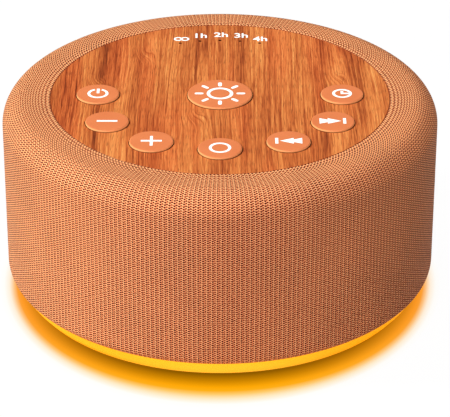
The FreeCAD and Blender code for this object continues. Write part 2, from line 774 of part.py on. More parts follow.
def main_board():
    """Board behind the loudspeaker, with a tongue that brings the socket to the wall."""
    shoulder = BOARD_REAR - SOCKET_H
    side = BOARD_REAR - REAR_POST[1] - POST_R
    flank = REAR_POST[0] + POST_R
    half = [(BOARD_X, BOARD_FRONT), (BOARD_X, side), (flank, shoulder - SOCKET_H),
            (BOARD_TONGUE_X, shoulder), (BOARD_TONGUE_X, BOARD_REAR)]
    mirrored = [(-x, y) for x, y in reversed(half)]
    board = extruded(half + mirrored, MAIN_BOARD_Z, MAIN_BOARD_TOP)
    return board.cut([disc(SMALL_SCREW_R + FIT, MAIN_BOARD_Z - PAST, MAIN_BOARD_TOP + PAST, place)
                      for place in board_posts()])


def board_middle(side):
    """A place half way from the board's middle to its side edge."""
    return side * BOARD_X / 2


def chip(size, x, y):
    return block(size[0], size[1], MAIN_BOARD_TOP, MAIN_BOARD_TOP + size[2], (x, y))


def board_chips():
    """Sound processor and memory in front; amplifier and choke behind them."""
    front = BOARD_FRONT + PROCESSOR[1]
    rear = front + PROCESSOR[1] + LOOSE
    return Part.makeCompound([
        chip(PROCESSOR, board_middle(-1), front),
        chip(MEMORY, board_middle(1), front),
        chip(AMPLIFIER, board_middle(-1), rear),
        chip(CHOKE, board_middle(1), rear),
    ])


def board_capacitors():
    """Electrolytic cans on the main board: one at each side and a small one by the socket."""
    top = MAIN_BOARD_TOP
    side = BOARD_X - 2 * CAN_R
    middle = BOARD_FRONT + FRONT_POST[1] + POST_R + CAN_R + LOOSE
    small = (board_middle(1), BOARD_REAR - 2 * SMALL_CAN_R - SOCKET_H)
    return Part.makeCompound([
        disc(CAN_R, top, top + CAN_H, (side, middle)),
        disc(CAN_R, top, top + CAN_H, (-side, middle)),
        disc(SMALL_CAN_R, top, top + SMALL_CAN_H, small),
    ])


def socket_shell():
    """Steel sleeve of the power socket, open at the back of the drum."""
    inner_h = SOCKET_H - 2 * SOCKET_T
    body = pill(SOCKET_W, SOCKET_H, SOCKET_H / 2 - FIT, SOCKET_FRONT - SOCKET_LENGTH, SOCKET_FRONT, SOCKET_Z)
    hollow = pill(SOCKET_W - 2 * SOCKET_T, inner_h, inner_h / 2 - FIT,
                  SOCKET_FRONT - SOCKET_LENGTH + SOCKET_T, SOCKET_FRONT + PAST, SOCKET_Z)
    return body.cut(hollow)


def socket_tongue():
    """Contact tongue and its block inside the sleeve."""
    width = SOCKET_W - 2 * SOCKET_T - 2 * FIT
    height = SOCKET_H - 2 * SOCKET_T - 2 * FIT
    rear = SOCKET_FRONT - SOCKET_LENGTH + SOCKET_T
    face = rear + TONGUE_BLOCK
    plug_block = pill(width, height, height / 2 - FIT, rear, face, SOCKET_Z)
    tongue = block(TONGUE[0], TONGUE[1], SOCKET_Z - TONGUE[2] / 2, SOCKET_Z + TONGUE[2] / 2,
                   (0.0, face + TONGUE[1] / 2))
    return joined(plug_block, [tongue])


def cable_plugs():
    """Two plugs of the ribbon cable, under the button board and on the main board."""
    width, depth, height = CABLE_PLUG
    plugs = []
    for foot in (MAIN_BOARD_TOP, KEY_BOARD_Z - height):
        body = block(width, depth, foot, foot + height, (0.0, CABLE_Y))
        throat = block(CABLE_W + SLIDE, CABLE_T + SLIDE, foot - PAST, foot + height + PAST, (0.0, CABLE_Y))
        plugs.append(body.cut(throat))
    return Part.makeCompound(plugs)


def ribbon_cable():
    """Flat cable between the boards, with a bend out through the deck's slot."""
    foot = MAIN_BOARD_TOP + FIT
    top = KEY_BOARD_Z - FIT
    reach = CABLE_PLUG[2] + CABLE_SWAY
    near = CABLE_Y
    out = CABLE_Y + CABLE_SWAY
    path = bent_path([
        (0, near, foot), (0, near, foot + reach), (0, out, foot + reach + CABLE_SWAY),
        (0, out, top - reach - CABLE_SWAY), (0, near, top - reach), (0, near, top),
    ], CABLE_SWAY / 2)
    x = CABLE_W / 2
    y = CABLE_T / 2
    section = Part.makePolygon([vec(-x, near - y, foot), vec(x, near - y, foot), vec(x, near + y, foot),
                                vec(-x, near + y, foot), vec(-x, near - y, foot)])
    return swept(path, section)


def tag_level():
    return (FRAME_SEAT + FRAME_FOOT) / 2


def terminal_board():
    """Tag board on the loudspeaker's frame, cut to lie against its cone."""
    level = tag_level()
    width, depth = TAG
    tag = block(width, depth, level, level + FRAME_T, (0.0, FRAME_THROAT_R + TAG_PROUD - depth / 2))
    inside = revolved([(0.0, FRAME_SEAT), (FRAME_SEAT_R + FIT, FRAME_SEAT),
                       (FRAME_THROAT_R + FIT, FRAME_FOOT), (0.0, FRAME_FOOT)])
    return tag.cut(inside)


def speaker_leads():
    """Two insulated wires from the tag board down to the main board."""
    top = tag_level()
    near = FRAME_THROAT_R - TAG_PROUD
    far = near + LEAD_STEP
    wires = []
    for x in (-LEAD_X, LEAD_X):
        path = bent_path([(x, near, top), (x, near, top - LEAD_DROP), (x, far, top - 2 * LEAD_DROP),
                          (x, far, MAIN_BOARD_TOP)], LEAD_BEND)
        section = Part.Wire([Part.makeCircle(LEAD_R, vec(x, near, top), UP)])
        wires.append(swept(path, section))
    return Part.makeCompound(wires)


def light_board():
    """Narrow ring board that carries the night-light lamps over the milky ring."""
    return tube(LIGHT_BOARD_R, LIGHT_BOARD_R - LIGHT_BOARD_W, LIGHT_BOARD_Z, LIGHT_BOARD_Z + LIGHT_BOARD_T)


def night_lights():
    """Twelve lamps facing down from the ring board."""
    radius = LIGHT_BOARD_R - LIGHT_LED[0] / 2 - LOOSE
    lamp = block(LIGHT_LED[0], LIGHT_LED[1], LIGHT_BOARD_Z - LIGHT_LED[2], LIGHT_BOARD_Z, (radius, 0.0))
    return Part.makeCompound([turned(lamp, 360.0 * step / LIGHT_COUNT) for step in range(LIGHT_COUNT)])


def light_link():
    """Header that joins the ring board to the main board above it."""
    rear = LIGHT_BOARD_R - LIGHT_BOARD_W / 2
    return block(LINK[0], LINK[1], LIGHT_BOARD_Z + LIGHT_BOARD_T, MAIN_BOARD_Z, (0.0, rear))


def screw(shank_r, head_r, head_t, length, seat, place, upward):
    """A plain screw whose head bears on a seat; its shank points up or down."""
    shank = (seat, seat + length) if upward else (seat - length, seat)
    head = (seat - head_t, seat) if upward else (seat, seat + head_t)
    return joined(disc(shank_r, shank[0], shank[1], place), [disc(head_r, head[0], head[1], place)])


def base_screws():
    return Part.makeCompound([
        screw(SCREW_R, SCREW_HEAD_R, SCREW_HEAD_T, BASE_SCREW, base_screw_seat(),
              polar(COLUMN_PITCH_R, angle), True) for angle in quarters()])


def deck_screws():
    return Part.makeCompound([
        screw(SCREW_R, SCREW_HEAD_R, SCREW_HEAD_T, DECK_SCREW, DECK_FOOT,
              polar(DECK_COLUMN_PITCH_R, angle), True) for angle in quarters(0.0)])


def speaker_screws():
    return Part.makeCompound([
        screw(SMALL_SCREW_R, SMALL_HEAD_R, SMALL_HEAD_T, SMALL_SCREW, FRAME_FOOT + FRAME_T,
              polar(EAR_PITCH_R, angle), False) for angle in quarters()])


def main_board_screws():
    return Part.makeCompound([
        screw(SMALL_SCREW_R, SMALL_HEAD_R, SMALL_HEAD_T, SMALL_SCREW, MAIN_BOARD_TOP, place, False)
        for place in board_posts()])


def key_board_screws():
    return Part.makeCompound([
        screw(SMALL_SCREW_R, SMALL_HEAD_R, SMALL_HEAD_T, SMALL_SCREW, KEY_BOARD_Z, place, True)
        for place in post_places()])


def all_parts():
    parts = {
        "fabric_sleeve": fabric_sleeve(),
        "housing": housing(),
        "top_panel": top_panel(),
        "light_ring": light_ring(),
        "base_cover": base_cover(),
        "rubber_feet": rubber_feet(),
        "inlet_bezel": inlet_bezel(),
        "timer_light_guide": timer_light_guide(),
        "timer_leds": timer_leds(),
        "tact_switches": tact_switches(),
        "key_board": key_board(),
        "key_board_screws": key_board_screws(),
        "speaker_deck": speaker_deck(),
        "deck_screws": deck_screws(),
        "speaker_basket": speaker_basket(),
        "speaker_gasket": speaker_gasket(),
        "speaker_top_plate": speaker_top_plate(),
        "speaker_magnet": speaker_magnet(),
        "speaker_yoke": speaker_yoke(),
        "voice_coil": voice_coil(),
        "speaker_cone": speaker_cone(),
        "speaker_surround": speaker_surround(),
        "speaker_spider": speaker_spider(),
        "dust_cap": dust_cap(),
        "speaker_screws": speaker_screws(),
        "terminal_board": terminal_board(),
        "speaker_leads": speaker_leads(),
        "main_board": main_board(),
        "main_board_screws": main_board_screws(),
        "board_chips": board_chips(),
        "board_capacitors": board_capacitors(),
        "socket_shell": socket_shell(),
        "socket_tongue": socket_tongue(),
        "ribbon_cable": ribbon_cable(),
        "cable_plugs": cable_plugs(),
        "light_board": light_board(),
        "night_lights": night_lights(),
        "light_link": light_link(),
        "base_screws": base_screws(),
    }
    for name, place, radius in KEYS:
        parts[name] = button(place, radius)
        parts[name.replace("button", "plunger")] = plunger(place)
    return parts


os.makedirs("parts", exist_ok=True)
for node, shape in all_parts().items():
    shape.exportStep("parts/" + node + ".step")
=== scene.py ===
import bpy
import bmesh
import json
import math
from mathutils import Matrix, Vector


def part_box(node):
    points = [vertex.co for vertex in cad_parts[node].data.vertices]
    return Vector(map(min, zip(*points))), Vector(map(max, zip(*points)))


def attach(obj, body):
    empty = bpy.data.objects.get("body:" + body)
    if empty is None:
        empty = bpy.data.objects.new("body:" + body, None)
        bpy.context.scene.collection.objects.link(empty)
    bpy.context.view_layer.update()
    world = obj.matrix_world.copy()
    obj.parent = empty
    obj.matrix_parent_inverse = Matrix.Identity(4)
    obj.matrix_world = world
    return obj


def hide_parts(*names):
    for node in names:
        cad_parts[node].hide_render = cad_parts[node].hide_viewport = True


# Looks of a white noise sound machine: knitted cloth round a drum, a wood-grain panel with eight
# printed keys and five timer marks, a glowing ring round the foot, and the pieces inside.
# Everything is in metres, with the front towards -Y and the table at z = 0.

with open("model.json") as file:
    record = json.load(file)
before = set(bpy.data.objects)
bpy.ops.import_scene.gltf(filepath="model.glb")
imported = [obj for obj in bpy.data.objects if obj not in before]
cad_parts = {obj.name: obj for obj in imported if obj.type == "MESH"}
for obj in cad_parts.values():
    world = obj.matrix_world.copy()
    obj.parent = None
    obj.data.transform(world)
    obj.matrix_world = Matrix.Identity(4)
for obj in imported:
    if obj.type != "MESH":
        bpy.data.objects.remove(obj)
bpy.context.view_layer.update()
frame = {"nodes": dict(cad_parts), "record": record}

MM = 0.001

# Camera, fitted to the drum's outlines in the photograph
IMAGE_W = 450
CAMERA_DISTANCE = 641.2 * MM
CAMERA_ELEVATION = math.radians(28.553)
CAMERA_FOCAL = 2478.3
CAMERA_AIM = 19.64 * MM
CAMERA_SHIFT = 5.02
SENSOR = 36.0

# Cloth
SHOULDER_R = 6.1 * MM
TUCK_R = 2.5 * MM
TUCK_SWEEP = 60.0
FOLD_R = 0.15 * MM
LIP_GAP = 0.03 * MM
HEM_DEPTH = 1.9 * MM
WALL_ROW_GAP = 0.6 * MM
CLOTH_T = 0.95 * MM
CLOTH_SIDES = 360
SHOULDER_STEPS = 18
WALES = 300
COURSE = 0.612 * MM
BEZEL_GAP = 0.1 * MM
BEZEL_CORNER_R = 2.5 * MM
WINDOW_REACH = (0.9, 1.1)
SHARP_EDGE = math.radians(45)

# Where nearly all values of a noise texture lie
NOISE_RANGE = (0.3, 0.7)

# Relief of the knit: the share of its holes, of the stripes between them, of the painted highlight on one
# side and on the upper edge of each loop, and of the step from row to row; then the swing from the darkest
# to the palest
HOLE_SHARE = -0.40
STRIPE_SHARE = -0.15
PAINTED_LIT_SIDE_SHARE = 0.10
PAINTED_LIT_UPPER_SHARE = 0.15
ROW_SHARE = 0.05
# Where the painted highlight falls across each loop and along its row, as if lit from the left and above
PAINTED_LIGHT_WALE_LEAN = math.radians(-55)
PAINTED_LIGHT_COURSE_LEAN = math.radians(-73)
KNIT_SWING = 0.27

# Streaks of the printed wood: their width across the grain and their length along it
BANDS = (4.6 * MM, 90 * MM)
HUES = (7.0 * MM, 70 * MM)
LINES = (0.46 * MM, 42 * MM)
FIBRES = (0.20 * MM, 9 * MM)
PORES = (0.17 * MM, 3.6 * MM)
STREAK_DEPTH = 50 * MM

# How much each layer of the wood lightens it, and how much the rings darken it
BAND_SHARE = 0.36
LINE_SHARE = 0.38
FIBRE_SHARE = 0.38
RING_SHARE = 0.18

# The wood darkens towards the left of the panel, from one place to another
LEFT_SHADE_FROM = -22 * MM
LEFT_SHADE_TO = -38 * MM
LEFT_SHADE = 0.12

# Cathedral figures of the printed wood: how far right its middle and how far back its lowest tip
# lie, how far apart the tips nest, and half the figure's width
FIGURES = (
    (-32.0 * MM, 2.0 * MM, 4.2 * MM, 2.8 * MM),
    (-20.0 * MM, 18.0 * MM, 3.6 * MM, 2.4 * MM),
    (-6.5 * MM, -18.0 * MM, 3.6 * MM, 2.6 * MM),
    (29.5 * MM, 5.0 * MM, 4.0 * MM, 2.4 * MM),
)
FIGURE_LENGTH = 9 * MM
RING_PITCH = 1.3 * MM

# Ring round the foot: the heights between which its glow changes, and how strongly it glows
RING_GLOW_Z = (1.2 * MM, 5.9 * MM)
RING_GLOW = 0.84

# Screen colour of the painted shade inside the holes of the panel, on their walls and on the keys' sides
PAINTED_HOLE_SHADE = (84, 22, 4)

# Printed marks: depth below and height above the face that they lie on, and the strength of a faint painted
# glow of the white ink
PRINT_SUNK = 0.01 * MM
PRINT_PROUD = 0.015 * MM
PRINT_PAINTED_GLOW = 0.12
ARC_STEPS = 48
ROUND_STEPS = 8

# Signs on the keys: radii of the rings, outer before inner, and lengths and widths of the lines
LINE_W = 0.7 * MM
POWER_RING = (2.65 * MM, 1.95 * MM)
POWER_HALF_GAP = 1.0 * MM
POWER_BAR = 2.6 * MM
POWER_BAR_Y = 1.4 * MM
MODE_RING = (2.7 * MM, 2.0 * MM)
VOLUME_BAR = (5.1 * MM, 0.8 * MM)
VOLUME_ARM = 2.15 * MM
CLOCK_RING = (2.5 * MM, 1.8 * MM)
CLOCK_LONG_HAND = 1.75 * MM
CLOCK_SHORT_HAND = 1.3 * MM
SUN_RING = (3.35 * MM, 2.5 * MM)
SUN_RAY = (4.15 * MM, 6.4 * MM)
SUN_RAY_W = 0.95 * MM
SUN_RAY_COUNT = 8
TRACK_HALF = 1.5 * MM
TRACK_BACK = (-3.3 * MM, 0.3 * MM)
TRACK_FRONT = (-1.25 * MM, 2.1 * MM)
TRACK_BAR_W = 0.75 * MM
TRACK_BAR_X = 2.9 * MM

# The timer's marks on the panel: the endless sign's middle and loops, then each label's middle
ENDLESS = (-10.15 * MM, 33.96 * MM)
LOOP_R = 1.15 * MM
LOOP_LINE = 0.5 * MM
LABELS = (
    ("1h", -4.98 * MM, 36.06 * MM), ("2h", 0.27 * MM, 36.70 * MM),
    ("3h", 5.60 * MM, 36.19 * MM), ("4h", 10.59 * MM, 34.09 * MM),
)
LABEL_SIZE = 3.9 * MM
LABEL_BOLDER = 0.07 * MM

# Painted glow of the ring on the table round the foot, with painted shadow nearest the foot: distances from
# the drum's axis in millimetres, each with its screen colour, straight in front and at the sides; at the
# sides it is narrower and fades faster
PAINTED_GLOW_STOPS = (
    (49.0, (140, 90, 0)), (52.0, (202, 132, 0)), (55.0, (253, 168, 6)), (56.5, (255, 176, 22)),
    (58.0, (254, 204, 107)), (60.0, (253, 234, 194)), (62.5, (255, 254, 250)), (65.0, (255, 255, 255)),
)
PAINTED_SIDE_GLOW_STOPS = (
    (49.0, (205, 122, 10)), (52.0, (226, 138, 26)), (55.0, (252, 152, 40)), (56.5, (253, 160, 54)),
    (58.0, (254, 198, 136)), (60.0, (255, 240, 220)), (62.5, (255, 254, 250)), (65.0, (255, 255, 255)),
)
GLOW_MIDDLE = 58.0
GLOW_NARROWER = 4.1
GLOW_SIDE_SHARPER = 1.8
GLOW_STRENGTH = 1.03
GLOW_SHARE = 0.94
TABLE_DIMMED = (205, 198, 192)
TABLE_HALF = 1.5

# Lamps: name, place, side of the square, watts and colour; all face a point above the table
LAMPS = (
    ("key", (-1.62, -0.05, 1.18), 0.3, 34.5, (0.71, 1.0, 1.0)),
    ("overhead", (0.03, -0.10, 1.14), 0.35, 8.0, (0.89, 0.95, 1.0)),
    ("front_fill", (-0.50, -0.95, 0.36), 0.5, 5.6, (1.0, 0.85, 0.94)),
)
LAMP_AIM = (0.0, 0.0, 0.03)
WORLD_LIGHT = 0.11


def tone(red, green, blue):
    """A screen colour, 0 to 255, as the linear one that shaders take."""
    def linear(value):
        share = value / 255
        return share / 12.92 if share <= 0.04045 else ((share + 0.055) / 1.055) ** 2.4
    return (linear(red), linear(green), linear(blue), 1.0)


def put_in_scene(name, data):
    made = bpy.data.objects.new(name, data)
    bpy.context.scene.collection.objects.link(made)
    return made


def make_camera():
    lens = bpy.data.cameras.new("camera")
    lens.sensor_fit = "HORIZONTAL"
    lens.sensor_width = SENSOR
    lens.lens = CAMERA_FOCAL / IMAGE_W * SENSOR
    lens.shift_x = CAMERA_SHIFT / IMAGE_W
    lens.clip_start = 0.01
    lens.clip_end = 10.0
    camera = put_in_scene("camera", lens)
    camera.location = (0.0, -CAMERA_DISTANCE * math.cos(CAMERA_ELEVATION),
                       CAMERA_AIM + CAMERA_DISTANCE * math.sin(CAMERA_ELEVATION))
    camera.rotation_euler = (math.pi / 2 - CAMERA_ELEVATION, 0.0, 0.0)
    bpy.context.scene.camera = camera


make_camera()


class Graph:
    """The node tree of one procedural material, with short calls for the nodes used here."""

    def __init__(self, name):
        self.material = bpy.data.materials.new(name)
        self.material.use_nodes = True
        self.tree = self.material.node_tree
        self.shader = self.tree.nodes["Principled BSDF"]
        self.output = self.tree.nodes["Material Output"]

    def put(self, socket, value):
        if isinstance(value, bpy.types.NodeSocket):
            self.tree.links.new(value, socket)
        else:
            socket.default_value = value

    def node(self, kind, inputs=None, **settings):
        made = self.tree.nodes.new(kind)
        for name, value in settings.items():
            setattr(made, name, value)
        for socket, value in (inputs or {}).items():
            self.put(made.inputs[socket], value)
        return made

    def finish(self, **values):
        """Sets the shader's sockets: a word's underscores stand for the spaces in its name."""
        for name, value in values.items():
            self.put(self.shader.inputs[name.replace("_", " ")], value)
        return self.material

    def place(self):
        return self.node("ShaderNodeTexCoord").outputs["Object"]

    def split(self, vector):
        parts = self.node("ShaderNodeSeparateXYZ", {"Vector": vector})
        return parts.outputs["X"], parts.outputs["Y"], parts.outputs["Z"]

    def math(self, operation, first, second=0.0):
        return self.node("ShaderNodeMath", {0: first, 1: second}, operation=operation).outputs[0]

    def plus(self, first, second):
        return self.math("ADD", first, second)

    def minus(self, first, second):
        return self.math("SUBTRACT", first, second)

    def times(self, first, second):
        return self.math("MULTIPLY", first, second)

    def most(self, first, second):
        return self.math("MAXIMUM", first, second)

    def from_axis(self, x, y):
        """Distance from the drum's axis."""
        return self.math("SQRT", self.plus(self.times(x, x), self.times(y, y)))

    def ahead(self, y, radius):
        """From 1 straight in front of the drum down to 0 at its sides and behind it."""
        return self.most(self.math("DIVIDE", self.times(y, -1.0), radius), 0.0)

    def waves(self, value, length):
        """Waves between 0 and 1 along a value, each of a length in metres."""
        return self.fit(self.math("SINE", self.times(value, 2 * math.pi / length)), -1.0, 1.0)

    def stretched(self, size, place=None):
        """A place, or else the object coordinates, in units of a size for each axis, in metres."""
        scale = [1 / length for length in size]
        start = self.place() if place is None else place
        return self.node("ShaderNodeVectorMath", {0: start, 1: scale}, operation="MULTIPLY").outputs[0]

    def noise(self, size, detail=2.0, rough=0.5, distortion=0.0, place=None):
        """Noise with features of about a size, one number or one for each axis, in metres."""
        sizes = size if hasattr(size, "__len__") else (size,) * 3
        return self.node("ShaderNodeTexNoise", {
            "Vector": self.stretched(sizes, place), "Scale": 1.0, "Detail": detail, "Roughness": rough,
            "Distortion": distortion}).outputs["Fac"]

    def cells(self, size, **settings):
        """Distances inside a net of cells of about a size for each axis, in metres."""
        return self.node("ShaderNodeTexVoronoi", {"Vector": self.stretched(size), "Scale": 1.0},
                         **settings).outputs["Distance"]

    def fit(self, value, low, high, new_low=0.0, new_high=1.0, smooth=False):
        kind = "SMOOTHSTEP" if smooth else "LINEAR"
        return self.node("ShaderNodeMapRange", {
            "Value": value, "From Min": low, "From Max": high, "To Min": new_low,
            "To Max": new_high}, interpolation_type=kind).outputs["Result"]

    def ramp(self, value, *stops):
        """Colours along a value from 0 to 1; each stop is a position and a colour."""
        made = self.node("ShaderNodeValToRGB", {"Fac": value})
        points = made.color_ramp.elements
        while len(points) < len(stops):
            points.new(1.0)
        for point, (position, colour) in zip(points, stops):
            point.position = position
            point.color = colour
        return made.outputs["Color"]

    def blend(self, share, first, second, kind="MIX"):
        return self.node("ShaderNodeMix", {0: share, 6: first, 7: second}, data_type="RGBA",
                         blend_type=kind).outputs[2]

    def mottle(self, fine, broad, darker, colour):
        """A tint that wanders between two tones with a fine and a broad noise."""
        share = self.plus(self.times(fine, 0.4), self.times(broad, 0.6))
        return self.ramp(self.fit(share, *NOISE_RANGE), (0.0, darker), (1.0, colour))

    def bump(self, height, distance):
        return self.node("ShaderNodeBump", {
            "Height": height, "Distance": distance, "Strength": 1.0}).outputs["Normal"]


def knit_cloth():
    """Warp-knit speaker cloth: staggered holes between plump loops in rows, with a painted highlight on
    each loop's side and upper edge.
    """
    graph = Graph("knit_cloth")
    x, y, z = graph.split(graph.place())
    shoulder_z = cloth_shape["shoulder_z"]
    rise = graph.most(graph.minus(z, shoulder_z), 0.0)
    lean = graph.math("ARCTAN2", rise, graph.minus(graph.from_axis(x, y), cloth_shape["shoulder_r"]))
    along = graph.plus(graph.math("MINIMUM", z, shoulder_z), graph.times(lean, SHOULDER_R))
    sway = graph.fit(graph.noise(5 * MM), 0.0, 1.0, -0.7, 0.7)
    sag = graph.fit(graph.noise(3 * MM, detail=1.0), 0.0, 1.0, -0.6, 0.6)
    wale = graph.plus(graph.times(graph.math("ARCTAN2", y, x), float(WALES)), sway)
    course = graph.plus(graph.times(along, 2 * math.pi / COURSE), sag)
    holes = graph.times(graph.math("COSINE", wale), graph.math("COSINE", course))
    stripes = graph.math("COSINE", graph.times(wale, 2.0))
    # Painted highlight: one side and the upper edge of each loop are made paler in the colour itself, as
    # light from the left and above would light them
    side = graph.math("COSINE", graph.plus(wale, PAINTED_LIGHT_WALE_LEAN))
    painted_lit_upper = graph.math("COSINE", graph.plus(course, PAINTED_LIGHT_COURSE_LEAN))
    step = graph.times(graph.math("COSINE", graph.times(wale, 0.5)),
                       graph.math("COSINE", graph.times(course, 0.5)))
    relief = graph.times(holes, HOLE_SHARE)
    parts = ((stripes, STRIPE_SHARE), (side, PAINTED_LIT_SIDE_SHARE), (painted_lit_upper, PAINTED_LIT_UPPER_SHARE), (step, ROW_SHARE))
    for part, share in parts:
        relief = graph.plus(relief, graph.times(part, share))
    level = graph.fit(relief, -KNIT_SWING, KNIT_SWING)
    fibre = graph.noise((0.12 * MM, 0.12 * MM, 0.05 * MM), detail=3.0)
    height = graph.plus(level, graph.times(fibre, 0.12))
    colour = graph.ramp(
        level, (0.0, tone(58, 8, 0)), (0.25, tone(128, 34, 8)), (0.5, tone(216, 96, 48)),
        (0.75, tone(255, 146, 86)), (1.0, tone(255, 182, 124)))
    patches = graph.fit(graph.noise(14 * MM), *NOISE_RANGE, 0.93, 1.05)
    shade = graph.ramp(graph.times(patches, graph.fit(fibre, 0.2, 0.8, 0.9, 1.05)),
                       (0.0, tone(0, 0, 0)), (1.0, tone(255, 255, 255)))
    return graph.finish(
        Base_Color=graph.blend(1.0, colour, shade, "MULTIPLY"), Specular_IOR_Level=0.30,
        Roughness=graph.fit(level, 0.0, 1.0, 0.9, 0.7), Normal=graph.bump(height, 0.03 * MM))


def wood_panel():
    """Printed wood grain from front to back, with cathedral figures, fine pores and painted shade on the
    hole walls.
    """
    graph = Graph("wood_panel")
    x, y, z = graph.split(graph.place())
    sway = graph.fit(graph.noise((16 * MM, 90 * MM, 50 * MM), detail=1.0), 0.0, 1.0, -2.0 * MM, 2.0 * MM)
    across = graph.plus(x, sway)
    curled = across
    for middle, tip, pitch, half_width in FIGURES:
        off = graph.math("DIVIDE", graph.minus(x, middle), half_width)
        near = graph.math("EXPONENT", graph.times(graph.times(off, off), -1.0))
        behind = graph.fit(y, tip, tip + FIGURE_LENGTH, smooth=True)
        lift = graph.times(behind, FIGURE_LENGTH * RING_PITCH / pitch)
        curled = graph.plus(curled, graph.times(near, lift))

    def streaks(size, detail, rough=0.5, start=across):
        board = graph.node("ShaderNodeCombineXYZ", {"X": start, "Y": y, "Z": z}).outputs[0]
        return graph.noise((*size, STREAK_DEPTH), detail=detail, rough=rough, place=board)

    bands = streaks(BANDS, 2.0)
    hues = streaks(HUES, 1.0)
    lines = streaks(LINES, 3.0, 0.65, curled)
    fibres = streaks(FIBRES, 2.0)
    pores = streaks(PORES, 1.0)
    rings = graph.math("POWER", graph.math("FRACT", graph.math("DIVIDE", curled, RING_PITCH)), 3.0)
    level = graph.times(graph.fit(bands, *NOISE_RANGE), BAND_SHARE)
    level = graph.plus(level, graph.times(graph.fit(lines, 0.32, 0.68), LINE_SHARE))
    level = graph.plus(level, graph.times(graph.fit(fibres, *NOISE_RANGE), FIBRE_SHARE))
    level = graph.minus(level, graph.times(rings, RING_SHARE))
    level = graph.minus(level, graph.fit(x, LEFT_SHADE_FROM, LEFT_SHADE_TO, 0.0, LEFT_SHADE, smooth=True))
    colour = graph.ramp(
        level, (0.0, tone(92, 32, 12)), (0.25, tone(162, 70, 30)), (0.5, tone(206, 105, 50)),
        (0.75, tone(233, 136, 70)), (1.0, tone(248, 164, 92)))
    dashes = graph.fit(pores, 0.28, 0.46, 1.0, 0.0, smooth=True)
    colour = graph.blend(graph.times(dashes, 0.55), colour, tone(112, 40, 14))
    redder = graph.fit(hues, 0.45, 0.65, 0.0, 0.45, smooth=True)
    colour = graph.blend(redder, colour, tone(255, 212, 214), "MULTIPLY")
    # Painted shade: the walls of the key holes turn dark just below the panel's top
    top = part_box("top_panel")[1].z
    hole_wall_shade = graph.fit(z, top - 0.10 * MM, top - 0.03 * MM, 1.0, 0.0)
    colour = graph.blend(hole_wall_shade, colour, tone(*PAINTED_HOLE_SHADE))
    height = graph.minus(graph.times(lines, 0.5), dashes)
    return graph.finish(
        Base_Color=colour, Roughness=graph.fit(lines, *NOISE_RANGE, 0.6, 0.48), Specular_IOR_Level=0.12,
        Normal=graph.bump(height, 0.02 * MM))


def moulded(name, colour, darker, roughness, grain=0.25 * MM, depth=0.006 * MM, shine=0.5):
    """Moulded plastic, rubber or ceramic: a fine grain with slight changes of tone and gloss."""
    graph = Graph(name)
    fine = graph.noise(grain, detail=3.0)
    broad = graph.noise(9 * MM)
    return graph.finish(
        Base_Color=graph.mottle(fine, broad, darker, colour), Specular_IOR_Level=shine,
        Roughness=graph.fit(broad, *NOISE_RANGE, roughness - 0.05, roughness + 0.07),
        Normal=graph.bump(fine, depth))


def key_plastic():
    """Orange key plastic with a fine grain, a painted highlight round the rounded rim and painted shade
    inside its hole.
    """
    graph = Graph("key_plastic")
    z = graph.split(graph.place())[2]
    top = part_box("mode_button")[1].z
    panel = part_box("top_panel")[1].z
    fine = graph.noise(0.25 * MM, detail=3.0)
    broad = graph.noise(9 * MM)
    tint = graph.mottle(fine, broad, tone(220, 115, 67), tone(232, 128, 77))
    # Painted highlight: the rounded rim and the top of the side wall are paler, as if lit from the side
    rim = graph.fit(z, top - 0.16 * MM, top - 0.03 * MM, 1.0, 0.0, smooth=True)
    # Painted shade: below the panel's top the key's side takes the dark colour of the holes
    sunk_shade = graph.fit(z, panel - 0.02 * MM, panel + 0.06 * MM, 1.0, 0.0)
    colour = graph.blend(rim, tint, tone(255, 172, 106))
    colour = graph.blend(sunk_shade, colour, tone(*PAINTED_HOLE_SHADE))
    return graph.finish(
        Base_Color=colour, Roughness=graph.fit(broad, *NOISE_RANGE, 0.45, 0.57), Specular_IOR_Level=0.15,
        Normal=graph.bump(fine, 0.006 * MM))


def metal(name, colour, darker, roughness):
    """Plated or bare metal with fine drawn lines and a faint stain."""
    graph = Graph(name)
    lines = graph.noise((0.4 * MM, 0.4 * MM, 3 * MM), detail=3.0)
    stain = graph.noise(6 * MM)
    tint = graph.ramp(graph.fit(stain, 0.35, 0.7), (0.0, darker), (1.0, colour))
    return graph.finish(
        Base_Color=tint, Metallic=1.0, Normal=graph.bump(lines, 0.004 * MM),
        Roughness=graph.fit(lines, *NOISE_RANGE, roughness - 0.08, roughness + 0.12))


def milky_ring():
    """Translucent ring lit from inside: amber, paler towards its foot, with a painted highlight that pales
    it straight in front, so it is deeper at the sides and behind.
    """
    graph = Graph("milky_ring")
    x, y, z = graph.split(graph.place())
    cloud = graph.noise(0.8 * MM, detail=3.0)
    level = graph.fit(z, *RING_GLOW_Z)
    warmth = graph.plus(graph.times(level, 0.75), graph.times(cloud, 0.25))
    glow = graph.ramp(
        warmth, (0.0, tone(255, 192, 54)), (0.5, tone(255, 187, 42)), (1.0, tone(253, 180, 28)))
    # Painted highlight: the glow turns paler towards the front of the drum and deeper amber towards the
    # sides
    ahead = graph.math("POWER", graph.ahead(y, graph.from_axis(x, y)), 6.0)
    glow = graph.blend(ahead, tone(240, 154, 2), glow)
    return graph.finish(
        Base_Color=tone(240, 160, 40), Roughness=graph.fit(cloud, *NOISE_RANGE, 0.38, 0.5),
        Emission_Color=glow, Emission_Strength=RING_GLOW, Specular_IOR_Level=0.3,
        Normal=graph.bump(cloud, 0.01 * MM))


